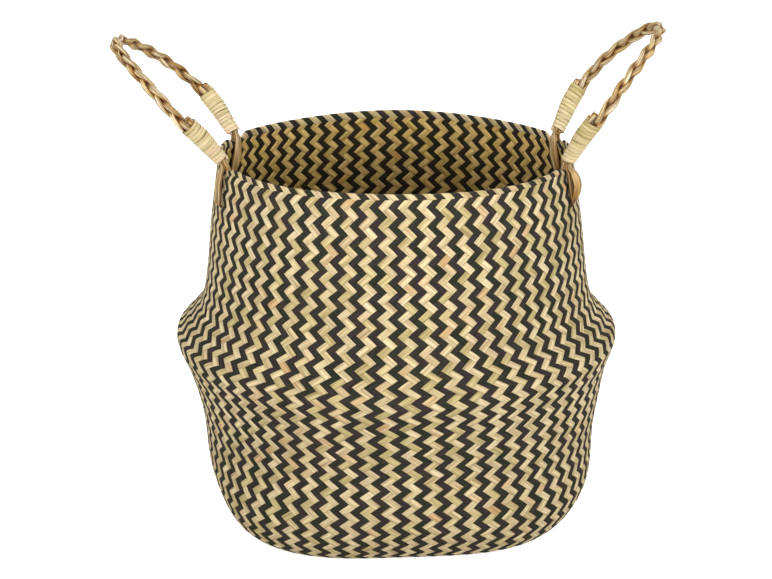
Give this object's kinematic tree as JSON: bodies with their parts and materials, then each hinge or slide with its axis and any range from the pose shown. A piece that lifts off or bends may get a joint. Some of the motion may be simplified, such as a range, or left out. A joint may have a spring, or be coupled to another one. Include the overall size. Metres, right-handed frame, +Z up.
{
  "type": "woven basket",
  "caption": "Round belly basket woven from flat natural and black plant strips, with plaited loop handles bound to the rim.",
  "frame": {"origin": "centre of the flat base, on the surface that the basket stands on", "axes": "+Z up, the two handles stand at -X (left) and +X (right), -Y is the front"},
  "size_m": [0.4216, 0.35, 0.3913],
  "materials": {
    "woven_strip": "dry matt plant fibre, natural and black strips",
    "tie_blade": "dry matt plant fibre, brown",
    "plait_strand": "dry matt plant fibre, tan",
    "winding_strip": "dry satin plant fibre, pale straw"
  },
  "bodies": {
    "basket": {"woven_body": "woven_strip", "left_front_tie": "tie_blade", "left_back_tie": "tie_blade", "right_front_tie": "tie_blade", "right_back_tie": "tie_blade"},
    "left_handle": {"left_handle_strand_1": "plait_strand", "left_handle_strand_2": "plait_strand", "left_handle_strand_3": "plait_strand", "left_front_winding": "winding_strip", "left_back_winding": "winding_strip", "left_front_folded_end": "plait_strand", "left_back_folded_end": "plait_strand"},
    "right_handle": {"right_handle_strand_1": "plait_strand", "right_handle_strand_2": "plait_strand", "right_handle_strand_3": "plait_strand", "right_front_winding": "winding_strip", "right_back_winding": "winding_strip", "right_front_folded_end": "plait_strand", "right_back_folded_end": "plait_strand"}
  },
  "joints": [
    {"name": "left_handle_swing", "type": "hinge", "parent": "basket", "child": "left_handle", "pos_m": [-0.12745, 0, 0.2922], "axis": [0, -1, 0], "range_deg": [-78, 57]},
    {"name": "right_handle_swing", "type": "hinge", "parent": "basket", "child": "right_handle", "pos_m": [0.12745, 0, 0.2922], "axis": [0, 1, 0], "range_deg": [-67, 67]}
  ]
}
